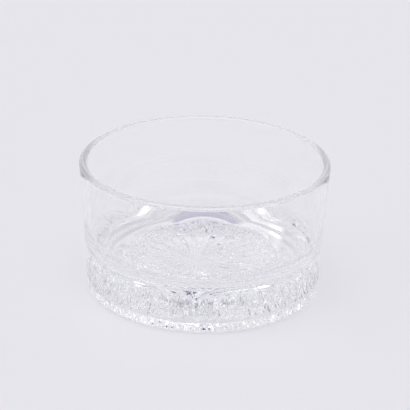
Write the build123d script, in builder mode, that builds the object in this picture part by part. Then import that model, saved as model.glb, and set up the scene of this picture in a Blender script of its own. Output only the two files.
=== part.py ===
from build123d import *
from math import atan2, cos, pi, radians, sin
import os

# Floating candle bowl in clear pressed glass.
# The bowl is one piece of glass. It is pressed in one shot between a mould and a plunger, and
# nothing is fitted to it. The origin is the middle of the circle that the bowl stands on,
# +Z is up along the axis of the bowl, and lengths are millimetres.

# Outside of the bowl
rim_diameter = 120.0
base_diameter = 114.0
height = 64.8
upright_height = 15.0       # the outside rises straight to here, then flares to the rim
flare_blend = 60.0          # radius of the soft bend between the two
heel_radius = 2.5           # round at the bottom edge

# Inside of the bowl
wall_thickness = 3.6        # the same all the way up, to a lip that is fire polished round
floor_thickness = 17.3      # from the table up to the inner floor
corner_radius = 15.0        # round between the floor and the wall

# The two small rounds are drawn as a few flats each, which keeps the facets of the part few
heel_flats = 3
lip_flats = 6

# Underside: a smooth foot ring with the moulded pattern sunk inside it
foot_ring_width = 12.0      # flat ring that the bowl stands on
recess_depth = 0.8          # the pattern lies this far above the table
recess_run = 1.0            # width of the slope from the foot ring up to the pattern

# Sunburst in the middle of the pattern
sunburst_shift = 2.8        # its centre sits this far off the axis, towards -X
ray_count = 28
hub_diameter = 9.0          # smooth disc that the rays start from
ray_depth = 0.9             # deepest point of a ray, at its outer end
ray_lap = 5.0               # the rays run this far in among the flakes

# Ice flakes: deep notches in a ring round the sunburst, out to the edge of the pattern
flake_ring_width = 6.0      # from the middle of the innermost flakes to the edge of the pattern
flake_kinds = 4             # sizes of flake, from the largest to the smallest
flakes_of_a_kind = 25
flake_length_max = 13.0
flake_length_min = 8.0
flake_width_max = 7.0
flake_width_min = 4.0
flake_depth_max = 13.0
flake_depth_min = 8.0
flake_turn = 26.0           # degrees that a flake may lie off the radius
flake_tilt = 9.0            # degrees that a flake may lean
flake_crest_share = 0.45    # length of a flake's crest, as a share of its own length
flake_crest_flat = 0.3      # narrow flat along the crest, where the mould was cut

overrun = 3.0               # how far every cut starts below the glass

# The two shares that spread the flakes unevenly, the golden one and its three-way cousin
spread_share = 0.618034
second_spread_share = 0.754878

os.makedirs("parts", exist_ok=True)

rim_radius = rim_diameter / 2
base_radius = base_diameter / 2
lip_radius = wall_thickness / 2
flare_top = height - lip_radius
pattern_radius = base_radius - heel_radius - foot_ring_width - recess_run
flake_inner_radius = pattern_radius - flake_ring_width


def inside_radius(level):
    """Radius of the inside at a level, where the wall follows the flare."""
    flare = (rim_radius - base_radius) / (flare_top - upright_height)
    return base_radius + (level - upright_height) * flare - wall_thickness


def small_round(middle, radius, start, stop, flats):
    """Points of a round about a middle, from the start angle to the stop angle in degrees."""
    steps = [start + (stop - start) * flat / flats for flat in range(flats + 1)]
    return [
        (middle[0] + radius * cos(radians(step)), middle[1] + radius * sin(radians(step)))
        for step in steps
    ]


def spread(index, low, high, share):
    """A value from low to high that jumps about as index counts up."""
    return low + (high - low) * ((index * share) % 1)


# One ray: a wide V whose root climbs outward from the hub, so that it grows wider and deeper
ray_start = hub_diameter / 2
ray_end = flake_inner_radius - flake_length_max / 2 + ray_lap
ray_length = ray_end - ray_start
ray_rise = atan2(ray_depth, ray_length)
ray_half_width = pi * ray_end / ray_count
ray_wall = ray_depth + overrun
ray_plane = Plane(
    origin=(ray_start, 0, recess_depth),
    x_dir=(0, 1, 0),
    z_dir=(cos(ray_rise), 0, sin(ray_rise)),
)
with BuildPart() as ray_cutter:
    with BuildSketch(ray_plane):
        with BuildLine():
            Polyline(
                (0, 0),
                (ray_half_width * ray_wall / ray_depth, -ray_wall),
                (-ray_half_width * ray_wall / ray_depth, -ray_wall),
                close=True,
            )
        make_face()
    extrude(amount=ray_length)

# Ice flakes: long roof-shaped notches of a few sizes, strewn over the ring at uneven angles
flake_places = []
for kind in range(flake_kinds):
    places = []
    for flake in range(flakes_of_a_kind):
        number = kind * flakes_of_a_kind + flake
        angle = 360 * (flake + kind / flake_kinds) / flakes_of_a_kind
        radius = spread(number, flake_inner_radius, pattern_radius, spread_share)
        turn = angle + spread(number, -flake_turn, flake_turn, second_spread_share)
        lean = spread(number + 1, -flake_tilt, flake_tilt, spread_share)
        roll = spread(number + 1, -flake_tilt, flake_tilt, second_spread_share)
        place = (radius * cos(radians(angle)), radius * sin(radians(angle)), recess_depth - overrun)
        places.append(Location(place, (0, 0, turn)) * Location((0, 0, 0), (90 + roll, 0, lean)))
    flake_places.append(places)

with BuildPart() as flake_cutter:
    for kind, places in enumerate(flake_places):
        size_share = 1 - kind / (flake_kinds - 1)
        length = flake_length_min + (flake_length_max - flake_length_min) * size_share
        width = flake_width_min + (flake_width_max - flake_width_min) * size_share
        depth = flake_depth_min + (flake_depth_max - flake_depth_min) * size_share
        # the notch is drawn out below the glass, with its slopes carried on to there
        grow = (depth + overrun) / depth
        crest = length * flake_crest_share
        foot_length = crest + (length - crest) * grow
        foot_width = flake_crest_flat + (width - flake_crest_flat) * grow
        with Locations(*places):
            Wedge(
                foot_length,
                depth + overrun,
                foot_width,
                (foot_length - crest) / 2,
                (foot_width - flake_crest_flat) / 2,
                (foot_length + crest) / 2,
                (foot_width + flake_crest_flat) / 2,
                align=(Align.CENTER, Align.MIN, Align.CENTER),
            )
    Cylinder(pattern_radius, 4 * overrun + 2 * flake_depth_max, mode=Mode.INTERSECT)

# The shallow dish that the pattern lies in, with a sloping edge
recess_grow = (recess_depth + overrun) / recess_depth
with BuildPart() as recess_cutter:
    with BuildSketch(Plane.XZ):
        with BuildLine():
            Polyline(
                (0, recess_depth),
                (pattern_radius, recess_depth),
                (pattern_radius + recess_run * recess_grow, -overrun),
                (0, -overrun),
                close=True,
            )
        make_face()
    revolve(axis=Axis.Z)

heel = small_round((base_radius - heel_radius, heel_radius), heel_radius, -90, 0, heel_flats)
lip = small_round((rim_radius - lip_radius, flare_top), lip_radius, 0, 180, lip_flats)
inner_corner = (inside_radius(floor_thickness), floor_thickness)

with BuildPart() as glass_bowl:
    # Half section: foot, heel, outer wall, lip, inner wall and floor, closed on the axis
    with BuildSketch(Plane.XZ) as section:
        with BuildLine():
            Polyline(
                (0, 0),
                *heel,
                (base_radius, upright_height),
                *lip,
                inner_corner,
                (0, floor_thickness),
                close=True,
            )
        make_face()
        bend = section.vertices().sort_by_distance((base_radius, upright_height))[0]
        fillet(bend, flare_blend)
        fillet(section.vertices().sort_by_distance(inner_corner)[0], corner_radius)
    revolve(axis=Axis.Z)
    add(recess_cutter.part, mode=Mode.SUBTRACT)
    with Locations((-sunburst_shift, 0, 0)):
        with PolarLocations(0, ray_count):
            add(ray_cutter.part, mode=Mode.SUBTRACT)
    add(flake_cutter.part, mode=Mode.SUBTRACT)

glass_bowl.part.label = "glass_bowl"
export_step(glass_bowl.part, "parts/glass_bowl.step")
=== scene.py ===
import math

import bpy
import numpy as np
from bpy.props import FloatProperty, FloatVectorProperty, IntProperty, PointerProperty
from mathutils import Matrix, Vector


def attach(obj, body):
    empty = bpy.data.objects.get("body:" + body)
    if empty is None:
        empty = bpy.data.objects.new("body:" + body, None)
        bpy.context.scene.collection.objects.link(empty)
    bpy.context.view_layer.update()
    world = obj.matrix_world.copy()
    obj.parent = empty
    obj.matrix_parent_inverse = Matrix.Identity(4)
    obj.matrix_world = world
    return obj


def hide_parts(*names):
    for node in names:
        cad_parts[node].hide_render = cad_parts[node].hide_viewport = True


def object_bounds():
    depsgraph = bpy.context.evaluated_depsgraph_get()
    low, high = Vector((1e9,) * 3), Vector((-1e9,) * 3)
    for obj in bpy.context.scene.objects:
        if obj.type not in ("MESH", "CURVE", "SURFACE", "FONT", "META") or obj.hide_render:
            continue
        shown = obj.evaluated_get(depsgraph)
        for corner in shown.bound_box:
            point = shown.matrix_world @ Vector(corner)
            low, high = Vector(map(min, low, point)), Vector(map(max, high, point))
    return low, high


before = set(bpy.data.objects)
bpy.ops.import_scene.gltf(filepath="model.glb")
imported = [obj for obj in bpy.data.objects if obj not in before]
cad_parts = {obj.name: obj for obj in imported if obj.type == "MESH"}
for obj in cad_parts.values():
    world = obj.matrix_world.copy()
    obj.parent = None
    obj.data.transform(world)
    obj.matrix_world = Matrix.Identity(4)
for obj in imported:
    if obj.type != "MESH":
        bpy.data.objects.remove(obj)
cad_low, cad_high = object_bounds()

bl_info = {
    "name": "Floating candle bowl",
    "version": (1, 0, 0),
    "blender": (4, 5, 0),
    "location": "View3D > Sidebar > Bowl",
    "description": "Makes a pressed glass bowl with a moulded pattern under its base, and a pale stage",
    "category": "Object",
}

MM = 0.001

# The two shares that spread the flakes unevenly, the golden one and its three-way cousin
GOLDEN_SHARE = 0.618034
SECOND_SHARE = 0.754878

# How the rays and the chips vary: lowest and highest share of the middling size
RAY_DEPTH_SHARES = (0.75, 1.25)
CHIP_SIZE_SHARES = (0.55, 1.45)
CHIP_DEPTH_SHARES = (0.6, 1.6)

# Usual turn and tilt of a chip, in radians, and its crest's share of its length
CHIP_WANDER = 0.5
CHIP_TILT = 0.14
CHIP_CREST_SHARE = 0.3

# The most that a notch may lean, as a share of its gentlest slope
STEEPEST_TILT_SHARE = 0.6

# Waves inside the wall: strength, count round the bowl, turn for each metre of height, start
WALL_WAVES = (
    (1.0, 5, 40, 0.4),
    (1.0, 9, -70, 2.1),
    (0.6, 17, 120, 0.0),
)

# Points along the straight or nearly straight stretches of the half section
UPRIGHT_POINTS = 3
BEND_POINTS = 5
FLARE_POINTS = 9
INSIDE_POINTS = 9
FLOOR_POINTS = 5

# A row this share of the way in from each end of the foot ring's slope keeps the slope straight
SLOPE_HOLD_SHARE = 0.04

FLOOR_SIDES = 96


def length(name, description, default):
    """A length in metres, shown with its unit."""
    return FloatProperty(
        name=name, description=description, default=default, subtype="DISTANCE", unit="LENGTH"
    )


def turn(name, description, default):
    """An angle, given here in degrees."""
    return FloatProperty(
        name=name, description=description, default=math.radians(default),
        subtype="ANGLE", unit="ROTATION",
    )


def share(name, description, default):
    """A plain number."""
    return FloatProperty(name=name, description=description, default=default)


def count(name, description, default):
    """A whole number of one or more."""
    return IntProperty(name=name, description=description, default=default, min=1)


def colour(name, description, default):
    """A linear colour."""
    return FloatVectorProperty(
        name=name, description=description, default=default, subtype="COLOR", size=3
    )


class BowlSizes(bpy.types.PropertyGroup):
    """The turned form of the bowl. It lies on the frame's solid, but for a wider inner corner and a foot
    ring that rises a little inward."""

    rim_radius: length("Rim radius", "Outside of the rim", (cad_high.x - cad_low.x) / 2)
    height: length("Height", "From the table to the top of the rim", cad_high.z)
    base_radius: length("Base radius", "Outside of the thick base", 57.0 * MM)
    upright_height: length("Upright height", "The outside rises straight to here", 15.0 * MM)
    bend_half: length("Half bend", "Half the height of the soft bend above the upright part", 1.9 * MM)
    heel_radius: length("Heel radius", "Round at the bottom edge", 2.5 * MM)
    wall: length("Wall", "Thickness of the wall", 3.6 * MM)
    floor_level: length("Floor level", "Top of the thick base", 17.3 * MM)
    corner_radius: length("Corner radius", "Round between the inner floor and the wall", 17.0 * MM)
    dish: length("Dish", "Height of the foot ring's inner part above the table", 0.55 * MM)
    dish_run: length("Dish run", "Width of the foot ring's outer part, which rises to there", 7.0 * MM)
    waviness: length("Waviness", "Unevenness that the plunger leaves inside", 0.02 * MM)


class PatternSizes(bpy.types.PropertyGroup):
    """The pattern that is moulded into the underside."""

    radius: length("Pattern radius", "Edge of the pattern", 41.5 * MM)
    shift: length("Sunburst shift", "How far the sunburst sits off the axis, towards -X", 2.8 * MM)
    recess: length("Recess", "Height of the pattern above the table", 0.8 * MM)
    recess_run: length("Recess run", "Width of the slope round the pattern", 1.0 * MM)
    rays: count("Rays", "Rays of the sunburst", 28)
    hub_radius: length("Hub radius", "Smooth disc in the middle", 4.5 * MM)
    ray_end: length("Ray end", "Radius at which the rays end among the flakes", 34.0 * MM)
    ray_depth: length("Ray depth", "Deepest point of a ray", 1.25 * MM)
    ring_width: length("Flake ring", "From the innermost flakes' middle to the pattern's edge", 8.0 * MM)
    edge_run: length("Edge run", "The pattern sinks to nothing over this width at its edge", 0.5 * MM)
    flake_kinds: count("Kinds of flake", "Sizes of large flake", 4)
    flakes_of_a_kind: count("Flakes of a kind", "Large flakes of each size", 28)
    flake_length: length("Flake length", "Length of the largest flake", 9.0 * MM)
    flake_width: length("Flake width", "Width of the largest flake", 5.0 * MM)
    flake_depth: length("Flake depth", "Depth of the largest flake", 5.0 * MM)
    ridge_height: length("Ridge height", "The flakes' ring is hollowed out to here", 8.0 * MM)
    ridge_crest: length("Ridge crest", "Width of the level crest of the ring", 3.0 * MM)
    ridge_slope: length("Ridge slope", "Width of the outer slope of the ring", 5.2 * MM)
    inner_slope: length("Inner slope", "Width of the inner slope of the ring", 2.5 * MM)
    flake_least: share("Smallest flake", "Size of the smallest flake as a share of the largest", 0.5)
    flake_inset: share("Inset", "Gap outside the outermost flakes, as a share of their length", 0.6)
    flake_crest: share("Crest", "Length of a flake's crest as a share of its own", 0.3)
    flake_turn: turn("Flake turn", "How far a flake may lie off the radius", 29)
    flake_tilt: turn("Flake tilt", "How far a flake may lean", 24)
    chips: count("Chips", "Small chips over the flakes", 550)
    chip_length: length("Chip length", "Length of a middling chip", 4.5 * MM)
    chip_width: length("Chip width", "Width of a middling chip", 2.0 * MM)
    chip_depth: length("Chip depth", "Depth of a middling chip", 1.3 * MM)
    chip_turn: turn("Chip turn", "How far the chips lie off the radius, all the same way", -34)
    seed: count("Seed", "Number that the chips are strewn by", 7)


class MeshSizes(bpy.types.PropertyGroup):
    """How fine the mesh is."""

    columns_of_a_ray: count("Columns of a ray", "Columns for each ray, half as many as over the flakes", 16)
    ray_rings: count("Ray rings", "Rings over the sunburst", 14)
    flake_rings: count("Flake rings", "Rings over the ice flakes", 54)
    heel_rings: count("Heel rings", "Rings over the round at the bottom edge", 12)
    lip_rings: count("Lip rings", "Rings over the round of the lip", 32)
    corner_rings: count("Corner rings", "Rings between the inner floor and the wall", 20)
    sharp_angle: turn("Sharp angle", "Facets that meet at more than this stay crisp", 15)


class GlassLooks(bpy.types.PropertyGroup):
    """The finish of the glass."""

    tint: colour("Tint", "Colour that a very thick piece of the glass shows", (0.90, 0.93, 0.94))
    tint_density: share("Tint density", "How fast the colour builds up, for each metre", 2.0)
    ior: share("Refraction", "Index of refraction of soda-lime glass", 1.52)
    polish_roughness: share("Polished roughness", "Roughness of the fire-polished glass", 0.0)
    worn_roughness: share("Worn roughness", "Roughness of the edge that rubs on tables", 0.05)
    least_wear: share("Least wear", "Least roughness of that edge, as a share of the worn one", 0.25)
    wear_width: length("Wear width", "Width of the worn edge", 0.8 * MM)
    wear_low: length("Wear low", "The edge is fully worn below this height", 0.02 * MM)
    wear_high: length("Wear high", "Nothing is worn above this height", 0.30 * MM)
    scuff_scale: share("Scuff scale", "How fine the scuffs are, for each metre", 900.0)
    uneven_scale: share("Uneven scale", "How fine the unevenness of the glass is, for each metre", 110.0)
    uneven_height: length("Unevenness", "Height of the unevenness of the glass", 0.012 * MM)


class StageLooks(bpy.types.PropertyGroup):
    """Floor, sky, light and camera."""

    floor_colour: colour("Floor colour", "Pale matt floor", (0.902, 0.895, 0.910))
    floor_radius: length("Floor radius", "Reach of the floor", 12.0)
    floor_drop: length("Floor drop", "Gap under the foot ring, so that no two faces coincide", 0.2 * MM)
    sky_colour: colour("Sky colour", "Horizon, as light as the floor", (0.80, 0.79, 0.84))
    panel_blur: turn("Panel blur", "Half the width of the soft edges of the studio's panels", 4)
    camera_distance: length("Camera distance", "From the camera to the bowl", 0.8)
    camera_height: length("Aim height", "Height that the camera looks at", 32.1 * MM)
    camera_elevation: turn("Camera elevation", "Camera above the horizon", 23.97)
    camera_roll: turn("Camera roll", "Turn of the camera about its own axis", 1.15)
    focal_pixels: share("Focal length", "Focal length in pixels of the square picture", 1648.0)
    picture_pixels: share("Picture size", "Pixels along a side of the square picture", 410.0)
    centre_x: share("Centre across", "Where the camera's axis meets the picture, in pixels", 203.8)
    centre_y: share("Centre down", "Where the camera's axis meets the picture, in pixels", 220.9)


def spread(index, low, high, step):
    """A value from low to high that jumps about as index counts up."""
    return low + (high - low) * ((index * step) % 1)


def smooth(part):
    """Eases a share that goes from 0 to 1, so that it starts and ends level."""
    return part * part * (3 - 2 * part)


def arc(middle_radius, middle_level, radius, start, stop, steps):
    """Points on a circle about a middle, at equal angles from start to stop in degrees."""
    angle = np.radians(np.linspace(start, stop, steps + 1))
    return np.stack([middle_radius + radius * np.cos(angle), middle_level + radius * np.sin(angle)], 1)


def outside_radius(size, level):
    """The outside is upright, then a straight flare; a parabola as high as the bend joins the two."""
    top = size.height - size.wall / 2
    slope = (size.rim_radius - size.base_radius) / (top - size.upright_height)
    into = np.clip(level - size.upright_height + size.bend_half, 0, 2 * size.bend_half)
    above = np.maximum(level - size.upright_height - size.bend_half, 0)
    return size.base_radius + slope * (into**2 / (4 * size.bend_half) + above)


def upper_outline(size, fineness):
    """The half section from the foot ring's outer edge up, over the lip and down to the inner floor.

    The heel, the lip and the inner corner are circular arcs, and the wall has one thickness."""
    lip = size.wall / 2
    top = size.height - lip
    slope = (size.rim_radius - size.base_radius) / (top - size.upright_height)
    lean = math.atan(slope)
    inside_at_floor = size.base_radius + slope * (size.floor_level - size.upright_height) - size.wall
    flat_radius = inside_at_floor - size.corner_radius * math.tan((math.pi / 2 - lean) / 2)
    heel = arc(size.base_radius - size.heel_radius, size.heel_radius, size.heel_radius,
               -90, 0, fineness.heel_rings)
    bend_low = size.upright_height - size.bend_half
    bend_high = size.upright_height + size.bend_half
    levels = np.concatenate([
        np.linspace(size.heel_radius, bend_low, UPRIGHT_POINTS)[1:],
        np.linspace(bend_low, bend_high, BEND_POINTS)[1:],
        np.linspace(bend_high, top, FLARE_POINTS)[1:-1],
    ])
    outside = np.stack([outside_radius(size, levels), levels], 1)
    over = arc(size.rim_radius - lip, top, lip, 0, 180, fineness.lip_rings)
    corner = arc(flat_radius, size.floor_level + size.corner_radius, size.corner_radius,
                 -math.degrees(lean), -90, fineness.corner_rings)
    share_down = np.linspace(0, 1, INSIDE_POINTS)[1:-1, None]
    inside = over[-1] + (corner[0] - over[-1]) * share_down
    across = np.linspace(flat_radius, 0, FLOOR_POINTS)[1:-1]
    floor = np.stack([across, np.full_like(across, size.floor_level)], 1)
    return np.concatenate([heel, outside, over, inside, corner, floor])


def roof(x, y, place_radius, place_angle, lie, long, wide, deep, crest, lean, roll):
    """Height of one roof-shaped notch: the least of its level crest, its two long slopes and its two
    end slopes, tilted a little along and across. The tilt stays below the slopes, so that the notch
    still ends where they come down to nothing."""
    dx = x - place_radius * math.cos(place_angle)
    dy = y - place_radius * math.sin(place_angle)
    along = dx * math.cos(lie) + dy * math.sin(lie)
    across = dy * math.cos(lie) - dx * math.sin(lie)
    side_slope = deep / (wide / 2)
    end_slope = deep / (long * (1 - crest) / 2)
    side = (wide / 2 - np.abs(across)) * side_slope
    end = (long / 2 - np.abs(along)) * end_slope
    most = STEEPEST_TILT_SHARE * min(side_slope, end_slope)
    up_along = min(max(math.tan(lean), -most), most)
    up_across = min(max(math.tan(roll), -most), most)
    return np.minimum(np.minimum(side, end), deep) + along * up_along + across * up_across


def sunburst(size, radius, angle):
    """Rays: V grooves whose root climbs from the hub outward; each has a depth of its own."""
    pace = angle * size.rays / (2 * math.pi)
    number = np.round(pace)
    aside = np.abs(pace - number) * 2 * math.pi * radius / size.rays
    reach = size.ray_end - size.hub_radius
    climb = np.clip((radius - size.hub_radius) / reach, 0, 1)
    vary = spread(number % size.rays, *RAY_DEPTH_SHARES, GOLDEN_SHARE)
    slope = size.ray_depth / (math.pi * size.ray_end / size.rays)
    return np.maximum(size.ray_depth * climb * vary - aside * slope, 0)


def ice_flakes(size, x, y):
    """The highest of the large flakes at each point. They are strewn over the ring at uneven angles and
    distances, in a few sizes."""
    height = np.zeros_like(x)
    inner = size.radius - size.ring_width
    for kind in range(size.flake_kinds):
        big = 1 - (1 - size.flake_least) * kind / (size.flake_kinds - 1)
        for flake in range(size.flakes_of_a_kind):
            number = kind * size.flakes_of_a_kind + flake
            angle = 2 * math.pi * (flake + kind / size.flake_kinds) / size.flakes_of_a_kind
            outer = size.radius - size.flake_inset * size.flake_length * big
            place = spread(number, inner, outer, GOLDEN_SHARE)
            lie = angle + spread(number, -size.flake_turn, size.flake_turn, SECOND_SHARE)
            lean = spread(number + 1, -size.flake_tilt, size.flake_tilt, GOLDEN_SHARE)
            roll = spread(number + 1, -size.flake_tilt, size.flake_tilt, SECOND_SHARE)
            one = roof(x, y, place, angle, lie, size.flake_length * big, size.flake_width * big,
                       size.flake_depth * big, size.flake_crest, lean, roll)
            height = np.maximum(height, one)
    return height


def chipping(size, x, y):
    """Small roofs strewn over the ring of flakes, all turned off the radius to about the same side."""
    draw = np.random.default_rng(size.seed)
    inner = size.radius - size.ring_width
    height = np.zeros_like(x)
    for _ in range(size.chips):
        place = math.sqrt(draw.uniform(inner**2, size.radius**2))
        angle = draw.uniform(0, 2 * math.pi)
        lie = angle + size.chip_turn + draw.normal(0, CHIP_WANDER)
        big = draw.uniform(*CHIP_SIZE_SHARES)
        lean, roll = draw.normal(0, CHIP_TILT, 2)
        one = roof(x, y, place, angle, lie, size.chip_length * big, size.chip_width * big,
                   size.chip_depth * draw.uniform(*CHIP_DEPTH_SHARES), CHIP_CREST_SHARE, lean, roll)
        height = np.maximum(height, one)
    return height


def ridge(size, radius):
    """How far the ring under the flakes is hollowed out: a straight slope from the pattern's edge up to
    a level crest, and an eased slope from there down to the sunburst."""
    outward = (size.radius - radius) / size.ridge_slope
    foot = size.radius - size.ridge_slope - size.ridge_crest - size.inner_slope
    inward = (radius - foot) / size.inner_slope
    return np.clip(outward, 0, 1) * smooth(np.clip(inward, 0, 1))


def relief(size, radius, angle, x, y):
    """Height of the pattern over the recess: rays or flakes, whichever cut deeper, with the chips on
    top of the flakes. It all sinks to nothing just before the pattern's edge."""
    edge = np.clip((size.radius - radius) / size.edge_run, 0, 1)
    hollow = size.ridge_height * ridge(size, radius)
    flakes = hollow + (ice_flakes(size, x, y) + chipping(size, x, y)) * edge
    return np.maximum(sunburst(size, radius, angle) * edge, flakes)


def wavy(size, points):
    """Moves the inside in and out by a few slow waves round and up the wall, which die away towards
    the inner floor and the lip."""
    angle = np.arctan2(points[..., 1], points[..., 0])
    level = points[..., 2]
    wave = np.zeros_like(level)
    for strength, around, upward, start in WALL_WAVES:
        wave = wave + strength * np.sin(around * angle + upward * level + start)
    radius = np.hypot(points[..., 0], points[..., 1])
    over_floor = np.clip((level - size.floor_level) / size.corner_radius, 0, 1)
    under_lip = np.clip((size.height - size.wall - level) / size.corner_radius, 0, 1)
    fade = smooth(over_floor) * smooth(under_lip)
    fade = np.where(radius < outside_radius(size, level) - size.wall / 2, fade, 0)
    grow = 1 + fade * size.waviness * wave / np.maximum(radius, size.waviness)
    points[..., 0] *= grow
    points[..., 1] *= grow
    return points


def turned(outline, columns):
    """A half section turned about the axis: one row of points for each point of the outline."""
    angle = np.arange(columns) * 2 * math.pi / columns
    radius, level = outline[:, :1], outline[:, 1:]
    shape = np.broadcast_to(level, (len(outline), columns))
    return np.stack([radius * np.cos(angle), radius * np.sin(angle), shape], -1)


def band_faces(first, rows, columns):
    """Quads of a band whose rows of points follow one another from first, closed all round."""
    row = first + np.arange(rows - 1)[:, None] * columns
    here = np.arange(columns)[None, :]
    there = (here + 1) % columns
    quads = np.stack([row + here, row + there, row + columns + there, row + columns + here], -1)
    return quads.reshape(-1, 4)


def fan_faces(pole, first, columns, upward):
    """Triangles from a pole to the row of points round it."""
    here = first + np.arange(columns)
    there = first + (np.arange(columns) + 1) % columns
    middle = np.full(columns, pole)
    return np.stack([middle, here, there] if upward else [middle, there, here], 1)


def seam_faces(fine, coarse, columns):
    """Triangles between a row of twice as many points and the row outside it."""
    here = np.arange(columns)
    there = (here + 1) % columns
    one, two, three = fine + 2 * here, fine + 2 * here + 1, fine + 2 * there
    left, right = coarse + here, coarse + there
    return np.concatenate([
        np.stack([one, two, left], 1),
        np.stack([two, right, left], 1),
        np.stack([two, three, right], 1),
    ])


def flakes_start(pattern):
    """Radius that the innermost flakes reach in to."""
    return pattern.radius - pattern.ring_width - pattern.flake_length / 2


def underside(pattern, radii, columns):
    """Rows of points of the pattern on a polar grid. Its columns are straight lines from the hub, which
    is off the bowl's axis, to even places round the ice flakes, which are centred on the axis."""
    angle = np.arange(columns)[None, :] * 2 * math.pi / columns
    radius = radii[:, None]
    inward = np.clip(1 - radius / flakes_start(pattern), 0, 1)
    x = radius * np.cos(angle) - pattern.shift * inward
    y = radius * np.sin(angle)
    return np.stack([x, y, pattern.recess + relief(pattern, radius, angle, x, y)], -1)


def bowl_mesh(size, pattern, fineness):
    """The whole bowl as one closed skin.

    The underside is a polar grid whose height is the relief; it has twice as many columns over the
    ice flakes. Its rim goes down the recess's slope, and the foot ring leads from there to the turned
    outline of the rest: level at first, then sloping down to the edge that the bowl stands on."""
    coarse = pattern.rays * fineness.columns_of_a_ray
    fine = 2 * coarse
    inner = flakes_start(pattern)
    middle = np.concatenate([
        [pattern.hub_radius / 2],
        np.linspace(pattern.hub_radius, inner, fineness.ray_rings, endpoint=False),
    ])
    rays = underside(pattern, middle, coarse)
    flakes = underside(pattern, np.linspace(inner, pattern.radius, fineness.flake_rings + 1), fine)
    stands = size.base_radius - size.heel_radius
    slope_shares = np.array([1, 1 - SLOPE_HOLD_SHARE, SLOPE_HOLD_SHARE])
    slope = np.stack([stands - slope_shares * size.dish_run, slope_shares * size.dish], 1)
    level = [[pattern.radius + pattern.recess_run, size.dish]]
    ring = np.concatenate([flakes, turned(np.concatenate([level, slope]), fine)])
    upper = wavy(size, turned(upper_outline(size, fineness), coarse))
    poles = np.array([[-pattern.shift, 0, pattern.recess], [0, 0, size.floor_level]])
    points = np.concatenate([rays.reshape(-1, 3), ring.reshape(-1, 3), upper.reshape(-1, 3), poles])
    ring_start = len(rays) * coarse
    upper_start = ring_start + len(ring) * fine
    pole = upper_start + len(upper) * coarse
    quads = np.concatenate([
        band_faces(0, len(rays), coarse),
        band_faces(ring_start, len(ring), fine),
        band_faces(upper_start, len(upper), coarse),
    ])
    triangles = np.concatenate([
        fan_faces(pole, 0, coarse, False),
        seam_faces(ring_start, ring_start - coarse, coarse)[:, ::-1],
        seam_faces(upper_start - fine, upper_start, coarse),
        fan_faces(pole + 1, pole - coarse, coarse, True),
    ])
    mesh = bpy.data.meshes.new("pressed_bowl")
    mesh.from_pydata(points, [], quads.tolist() + triangles.tolist())
    mesh.validate()
    mesh.shade_smooth()
    mesh.set_sharp_from_angle(angle=fineness.sharp_angle)
    return mesh


def node(tree, kind, **values):
    """A node of that kind, with its plain settings and its sockets' values set by name."""
    made = tree.nodes.new("ShaderNode" + kind)
    for name, value in values.items():
        if hasattr(made, name):
            setattr(made, name, value)
        else:
            made.inputs[name.replace("_", " ")].default_value = value
    return made


def soft_edge(tree, value, start, end):
    """A share that goes from 0 to 1 as the value goes from start to end."""
    edge = node(tree, "MapRange", interpolation_type="SMOOTHSTEP")
    edge.inputs["From Min"].default_value = start
    edge.inputs["From Max"].default_value = end
    tree.links.new(value, edge.inputs["Value"])
    return edge.outputs["Result"]


def both(tree, one, two):
    """Two shares multiplied."""
    product = node(tree, "Math", operation="MULTIPLY")
    tree.links.new(one, product.inputs[0])
    tree.links.new(two, product.inputs[1])
    return product.outputs["Value"]


def glass_material(looks, size):
    """Clear glass: polished all over, worn where the foot ring rubs, with a faint unevenness."""
    made = bpy.data.materials.new("clear_pressed_glass")
    made.use_nodes = True
    tree = made.node_tree
    shader = tree.nodes["Principled BSDF"]
    shader.inputs["Base Color"].default_value = (1, 1, 1, 1)
    shader.inputs["IOR"].default_value = looks.ior
    shader.inputs["Transmission Weight"].default_value = 1.0
    place = node(tree, "TexCoord")
    parts = node(tree, "SeparateXYZ")
    tree.links.new(place.outputs["Object"], parts.inputs[0])
    radius = node(tree, "VectorMath", operation="LENGTH")
    tree.links.new(place.outputs["Object"], radius.inputs[0])
    edge = size.base_radius - size.heel_radius
    inner_edge = edge - looks.wear_width
    low = soft_edge(tree, parts.outputs["Z"], looks.wear_high, looks.wear_low)
    outer = soft_edge(tree, radius.outputs["Value"], inner_edge, inner_edge + looks.wear_width / 2)
    scuffs = node(tree, "TexNoise", Scale=looks.scuff_scale, Detail=5.0, Roughness=0.65)
    tree.links.new(place.outputs["Object"], scuffs.inputs["Vector"])
    rub = node(tree, "MapRange")
    rub.inputs["From Min"].default_value = 0.35
    rub.inputs["From Max"].default_value = 0.70
    rub.inputs["To Min"].default_value = looks.worn_roughness * looks.least_wear
    rub.inputs["To Max"].default_value = looks.worn_roughness
    tree.links.new(scuffs.outputs["Fac"], rub.inputs["Value"])
    rough = node(tree, "MapRange")
    rough.inputs["To Min"].default_value = looks.polish_roughness
    tree.links.new(both(tree, low, outer), rough.inputs["Value"])
    tree.links.new(rub.outputs["Result"], rough.inputs["To Max"])
    tree.links.new(rough.outputs["Result"], shader.inputs["Roughness"])
    uneven = node(tree, "TexNoise", Scale=looks.uneven_scale, Detail=1.0, Roughness=0.4)
    tree.links.new(place.outputs["Object"], uneven.inputs["Vector"])
    bump = node(tree, "Bump", Strength=1.0, Distance=looks.uneven_height)
    tree.links.new(uneven.outputs["Fac"], bump.inputs["Height"])
    tree.links.new(bump.outputs["Normal"], shader.inputs["Normal"])
    tint = node(tree, "VolumeAbsorption", Density=looks.tint_density)
    tint.inputs["Color"].default_value = (*looks.tint, 1)
    output = next(n for n in tree.nodes if n.type == "OUTPUT_MATERIAL")
    tree.links.new(tint.outputs["Volume"], output.inputs["Volume"])
    return made


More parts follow.
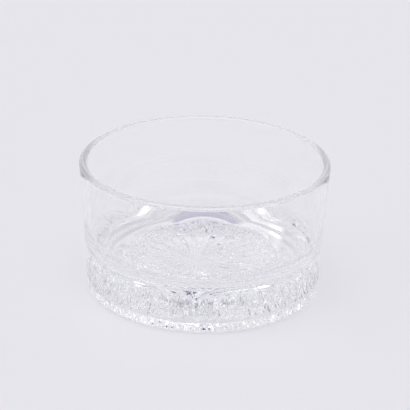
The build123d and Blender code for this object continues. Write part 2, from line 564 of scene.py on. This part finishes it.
class BOWL_OT_glass(bpy.types.Operator):
    """Makes the glass bowl in place of the frame's plain solid"""

    bl_idname = "bowl.make_glass"
    bl_label = "Glass bowl"

    def execute(self, context):
        scene = context.scene
        mesh = bowl_mesh(scene.bowl_sizes, scene.bowl_pattern, scene.bowl_mesh)
        mesh.materials.append(glass_material(scene.bowl_glass, scene.bowl_sizes))
        piece = bpy.data.objects.new("pressed_bowl", mesh)
        scene.collection.objects.link(piece)
        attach(piece, "root")
        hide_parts("glass_bowl")
        return {"FINISHED"}


def stage_floor(looks):
    """A large matt disc just under the foot ring."""
    mesh = bpy.data.meshes.new("stage_floor")
    angle = np.arange(FLOOR_SIDES) * 2 * math.pi / FLOOR_SIDES
    ring = np.stack([looks.floor_radius * np.cos(angle), looks.floor_radius * np.sin(angle),
                     np.full(FLOOR_SIDES, -looks.floor_drop)], 1)
    mesh.from_pydata(ring, [], [list(range(FLOOR_SIDES))])
    material = bpy.data.materials.new("pale_floor")
    material.use_nodes = True
    shader = material.node_tree.nodes["Principled BSDF"]
    shader.inputs["Base Color"].default_value = (*looks.floor_colour, 1)
    shader.inputs["Roughness"].default_value = 1.0
    shader.inputs["Specular IOR Level"].default_value = 0.0
    mesh.materials.append(material)
    floor = bpy.data.objects.new("stage_floor", mesh)
    bpy.context.scene.collection.objects.link(floor)


# The studio round the bowl, painted on the sky one panel over another. Each has its middle's azimuth
# from +X, its half width, its lower and upper edge in degrees of elevation, and its colour.
PANELS = (
    ("room", 0, 180, 10, 95, (0.82, 0.82, 0.85)),
    ("dark skirting", 0, 180, 10, 30, (0.64, 0.63, 0.68)),
    ("left window", 195, 30, 10, 36, (0.96, 0.95, 0.98)),
    ("low sun in the window", 180, 9, 18, 30, (1.40, 1.37, 1.35)),
    ("ceiling", 0, 180, 62, 95, (1.24, 1.24, 1.27)),
    ("dim back of the ceiling", 60, 80, 50, 76, (0.84, 0.84, 0.87)),
    ("front lamp", 250, 75, 48, 80, (1.38, 1.38, 1.41)),
    ("dark gap behind", 90, 11, 9, 17, (0.06, 0.04, 0.13)),
    ("dark rail behind", 90, 14, 34, 50, (0.08, 0.06, 0.17)),
    ("dark side of the camera", 268, 26, 4, 28, (0.42, 0.40, 0.48)),
    ("dark wall behind the camera", 268, 38, 30, 43, (0.49, 0.46, 0.60)),
    ("camera", 270, 11, 1, 28, (0.05, 0.04, 0.11)),
)


def stage_sky(looks):
    """A pale horizon that carries on from the floor, with the panels of the studio above it."""
    world = bpy.data.worlds.new("stage_sky")
    bpy.context.scene.world = world
    world.use_nodes = True
    tree = world.node_tree
    place = node(tree, "TexCoord")
    parts = node(tree, "SeparateXYZ")
    tree.links.new(place.outputs["Generated"], parts.inputs[0])
    level = node(tree, "VectorMath", operation="MULTIPLY")
    level.inputs[1].default_value = (1, 1, 0)
    tree.links.new(place.outputs["Generated"], level.inputs[0])
    facing = node(tree, "VectorMath", operation="NORMALIZE")
    tree.links.new(level.outputs["Vector"], facing.inputs[0])
    soft = looks.panel_blur
    colour = node(tree, "RGB").outputs["Color"]
    colour.default_value = (*looks.sky_colour, 1)
    for _, azimuth, half, low, high, tone in PANELS:
        azimuth, half, low, high = (math.radians(value) for value in (azimuth, half, low, high))
        above = soft_edge(tree, parts.outputs["Z"], math.sin(low - soft), math.sin(low + soft))
        cover = above
        if high + soft < math.pi / 2:
            below = soft_edge(tree, parts.outputs["Z"], math.sin(high + soft), math.sin(high - soft))
            cover = both(tree, cover, below)
        if half < math.pi:
            aside = node(tree, "VectorMath", operation="DOT_PRODUCT")
            aside.inputs[1].default_value = (math.cos(azimuth), math.sin(azimuth), 0)
            tree.links.new(facing.outputs["Vector"], aside.inputs[0])
            within = soft_edge(
                tree, aside.outputs["Value"], math.cos(half + soft), math.cos(half - soft)
            )
            cover = both(tree, cover, within)
        paint = node(tree, "MixRGB", Color2=(*tone, 1))
        tree.links.new(cover, paint.inputs["Fac"])
        tree.links.new(colour, paint.inputs["Color1"])
        colour = paint.outputs["Color"]
    tree.links.new(colour, tree.nodes["Background"].inputs["Color"])


def stage_camera(looks):
    """The photograph's camera: it looks at the bowl's axis from in front and above."""
    camera = bpy.data.cameras.new("camera")
    eye = bpy.data.objects.new("camera", camera)
    bpy.context.scene.collection.objects.link(eye)
    up = looks.camera_elevation
    back = Vector((0, -math.cos(up), math.sin(up)))
    place = Vector((0, 0, looks.camera_height)) + back * looks.camera_distance
    look = (-back).to_track_quat("-Z", "Y").to_matrix().to_4x4()
    eye.matrix_world = Matrix.Translation(place) @ look @ Matrix.Rotation(looks.camera_roll, 4, "Z")
    camera.sensor_fit = "HORIZONTAL"
    camera.lens = looks.focal_pixels / looks.picture_pixels * camera.sensor_width
    camera.shift_x = 0.5 - looks.centre_x / looks.picture_pixels
    camera.shift_y = looks.centre_y / looks.picture_pixels - 0.5
    camera.clip_start, camera.clip_end = 0.01, 50
    bpy.context.scene.camera = eye


def stage_paths():
    """Light may pass the glass often enough to leave it, and its caustics aren't blurred away."""
    cycles = bpy.context.scene.cycles
    cycles.max_bounces = 32
    cycles.transmission_bounces = 32
    cycles.glossy_bounces = 32
    cycles.diffuse_bounces = 16
    cycles.transparent_max_bounces = 16
    cycles.blur_glossy = 0.0


class BOWL_OT_stage(bpy.types.Operator):
    """Makes the pale floor, the soft light and the camera"""

    bl_idname = "bowl.make_stage"
    bl_label = "Stage"

    def execute(self, context):
        looks = context.scene.bowl_stage
        stage_floor(looks)
        stage_sky(looks)
        stage_camera(looks)
        stage_paths()
        context.scene.view_settings.view_transform = "Standard"
        return {"FINISHED"}


class BOWL_PT_panel(bpy.types.Panel):
    """Sizes, looks and the two makers"""

    bl_idname = "BOWL_PT_panel"
    bl_label = "Candle bowl"
    bl_space_type = "VIEW_3D"
    bl_region_type = "UI"
    bl_category = "Bowl"

    def draw(self, context):
        for name, group in GROUPS.items():
            box = self.layout.box()
            settings = getattr(context.scene, name)
            for prop in group.__annotations__:
                box.prop(settings, prop)
        self.layout.operator(BOWL_OT_glass.bl_idname)
        self.layout.operator(BOWL_OT_stage.bl_idname)


GROUPS = {
    "bowl_sizes": BowlSizes,
    "bowl_pattern": PatternSizes,
    "bowl_mesh": MeshSizes,
    "bowl_glass": GlassLooks,
    "bowl_stage": StageLooks,
}
CLASSES = (*GROUPS.values(), BOWL_OT_glass, BOWL_OT_stage, BOWL_PT_panel)


def register():
    for one in CLASSES:
        bpy.utils.register_class(one)
    for name, group in GROUPS.items():
        setattr(bpy.types.Scene, name, PointerProperty(type=group))


def unregister():
    for name in GROUPS:
        delattr(bpy.types.Scene, name)
    for one in reversed(CLASSES):
        bpy.utils.unregister_class(one)


def main():
    register()
    bpy.ops.bowl.make_glass()
    bpy.ops.bowl.make_stage()


if __name__ == "__main__":
    main()
